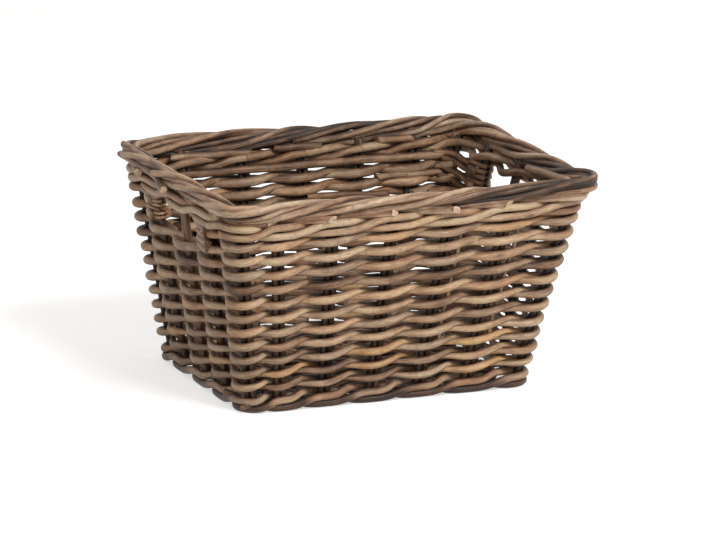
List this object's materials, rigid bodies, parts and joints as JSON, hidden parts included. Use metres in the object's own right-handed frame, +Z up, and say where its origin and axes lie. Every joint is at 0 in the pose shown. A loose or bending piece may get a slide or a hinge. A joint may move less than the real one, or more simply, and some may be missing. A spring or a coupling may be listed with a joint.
{
  "type": "storage basket",
  "caption": "Rectangular tapered storage basket woven from rattan rods, open at the top, with a rope-like rod border and a hand hole in each short side",
  "frame": {"origin": "middle of the underside, in the plane that the basket stands on, on a flat stretch of a bottom weaver", "axes": "+X along the long walls, +Y from the front long wall to the back long wall, +Z up through the open top"},
  "size_m": [0.4125, 0.3624, 0.23],
  "materials": {
    "stake": "matte dark rattan",
    "weaver": "matte greyish brown rattan",
    "wale": "matte brown rattan",
    "border": "satin pinkish brown rattan",
    "bottom": "matte brown rattan"
  },
  "bodies": {
    "root": {"cross_stake_1_of_5": "stake", "cross_stake_2_of_5": "stake", "cross_stake_3_of_5": "stake", "cross_stake_4_of_5": "stake", "cross_stake_5_of_5": "stake", "corner_stake_1": "stake", "corner_stake_2": "stake", "corner_stake_3": "stake", "corner_stake_4": "stake", "right_stake_1": "stake", "right_stake_2": "stake", "right_stake_3": "stake", "left_stake_1": "stake", "left_stake_2": "stake", "left_stake_3": "stake", "end_stick_left": "bottom", "end_stick_right": "bottom", "bottom_weaver_1": "bottom", "bottom_weaver_2": "bottom", "bottom_weaver_3": "bottom", "bottom_weaver_4": "bottom", "bottom_edge_front": "bottom", "bottom_edge_back": "bottom", "foot_wale_1": "wale", "foot_wale_2": "wale", "foot_wale_3": "wale", "pairing_weaver_a1": "weaver", "pairing_weaver_a2": "weaver", "pairing_weaver_a3": "weaver", "pairing_weaver_b1": "weaver", "pairing_weaver_b2": "weaver", "pairing_weaver_b3": "weaver", "hole_weaver_front_a": "weaver", "hole_weaver_front_b": "weaver", "hole_weaver_back_a": "weaver", "hole_weaver_back_b": "weaver", "rim_wale_1": "wale", "rim_wale_2": "wale", "rim_wale_3": "wale", "border_rod_01": "border", "border_rod_02": "border", "border_rod_03": "border", "border_rod_04": "border", "border_rod_05": "border", "border_rod_06": "border", "border_rod_07": "border", "border_rod_08": "border", "border_rod_09": "border", "border_rod_10": "border", "border_rod_11": "border", "border_rod_12": "border", "border_rod_13": "border", "border_rod_14": "border", "border_rod_15": "border", "border_rod_16": "border", "border_rod_17": "border", "border_rod_18": "border", "border_rod_19": "border", "border_rod_20": "border"}
  },
  "joints": []
}
